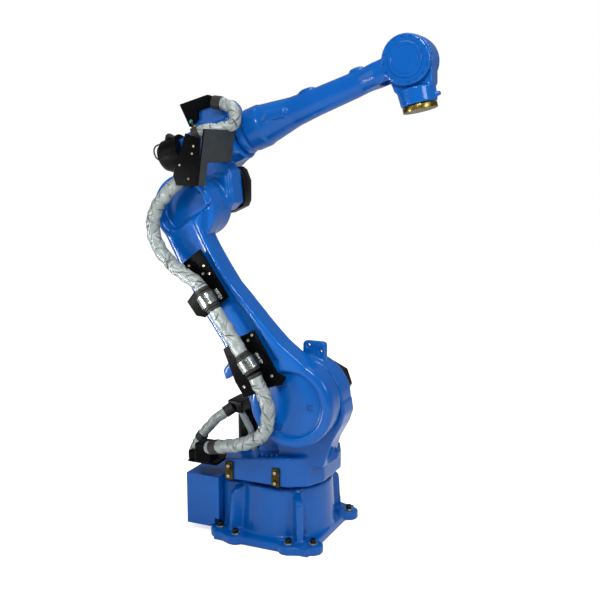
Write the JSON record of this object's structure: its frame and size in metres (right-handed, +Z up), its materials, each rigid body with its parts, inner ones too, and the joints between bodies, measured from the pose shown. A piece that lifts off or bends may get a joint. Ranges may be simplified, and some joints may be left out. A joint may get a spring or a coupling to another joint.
{
  "type": "industrial robot arm",
  "caption": "Six-axis industrial robot arm on a bolted foot: turning turret, leaning lower arm, motor-backed elbow housing, tapered forearm, wrist and round tool flange, with sleeved hoses.",
  "frame": {"origin": "on the turret's turning axis at the underside of the foot plate", "axes": "+Z up, +X to the front of the arm, the lower arm lies on the -Y side of the centre plane"},
  "size_m": [1.4249, 0.7749, 2.4512],
  "materials": {
    "blue_paint": "gloss",
    "black_paint": "satin",
    "silver_sleeve": "wrinkled, metallised",
    "zinc_coupling": "bright zinc",
    "gold_plating": "yellow chromate plating",
    "grey_paint": "satin"
  },
  "bodies": {
    "base": {"base_casting": "blue_paint", "connection_box": "blue_paint"},
    "turret": {"turret_casting": "blue_paint", "stop_plate_rear": "gold_plating", "stop_plate_front": "gold_plating", "turret_motor": "grey_paint", "turret_motor_connector": "black_paint", "shoulder_motor": "black_paint", "rear_hose_bracket": "black_paint", "rear_hose_clamp": "black_paint", "turret_hose": "silver_sleeve", "lower_hose": "silver_sleeve"},
    "lower_arm": {"lower_arm_casting": "blue_paint", "lower_hub_cover": "blue_paint", "lower_hose_bracket": "black_paint", "upper_hose_bracket": "black_paint", "lower_coupling": "zinc_coupling", "upper_coupling": "zinc_coupling", "arm_hose": "silver_sleeve"},
    "upper_arm": {"upper_arm_housing": "blue_paint", "elbow_motor": "black_paint", "wrist_motor": "black_paint", "hose_plate": "black_paint", "top_plate": "black_paint", "top_hose": "silver_sleeve", "upper_hose": "silver_sleeve"},
    "forearm": {"forearm_casting": "blue_paint", "wrist_cover_near": "blue_paint", "wrist_cover_far": "blue_paint"},
    "wrist": {"wrist_housing": "blue_paint"},
    "tool": {"tool_flange": "gold_plating"}
  },
  "joints": [
    {"name": "turret_turn", "type": "hinge", "parent": "base", "child": "turret", "pos_m": [0, 0, 0.3], "axis": [0, 0, 1], "range_deg": [-180, 180]},
    {"name": "shoulder", "type": "hinge", "parent": "turret", "child": "lower_arm", "pos_m": [0.178, 0, 0.755], "axis": [0, 1, 0], "range_deg": [-27.95, 108.05], "deforming": ["lower_hose"]},
    {"name": "elbow", "type": "hinge", "parent": "lower_arm", "child": "upper_arm", "pos_m": [-0.38768, 0, 1.65853], "axis": [0, -1, 0], "range_deg": [-64.35, 101.65], "deforming": ["upper_hose"]},
    {"name": "forearm_roll", "type": "hinge", "parent": "upper_arm", "child": "forearm", "pos_m": [-0.23152, 0, 2.01321], "axis": [0.9373, 0, 0.3486], "range_deg": [-360, 360]},
    {"name": "wrist_bend", "type": "hinge", "parent": "forearm", "child": "wrist", "pos_m": [0.62891, 0, 2.33319], "axis": [0, 1, 0], "range_deg": [-221.9, 28.1]},
    {"name": "tool_turn", "type": "hinge", "parent": "wrist", "child": "tool", "pos_m": [0.6819, 0, 2.11247], "axis": [0.2334, 0, -0.9724], "range_deg": [-360, 360]}
  ]
}
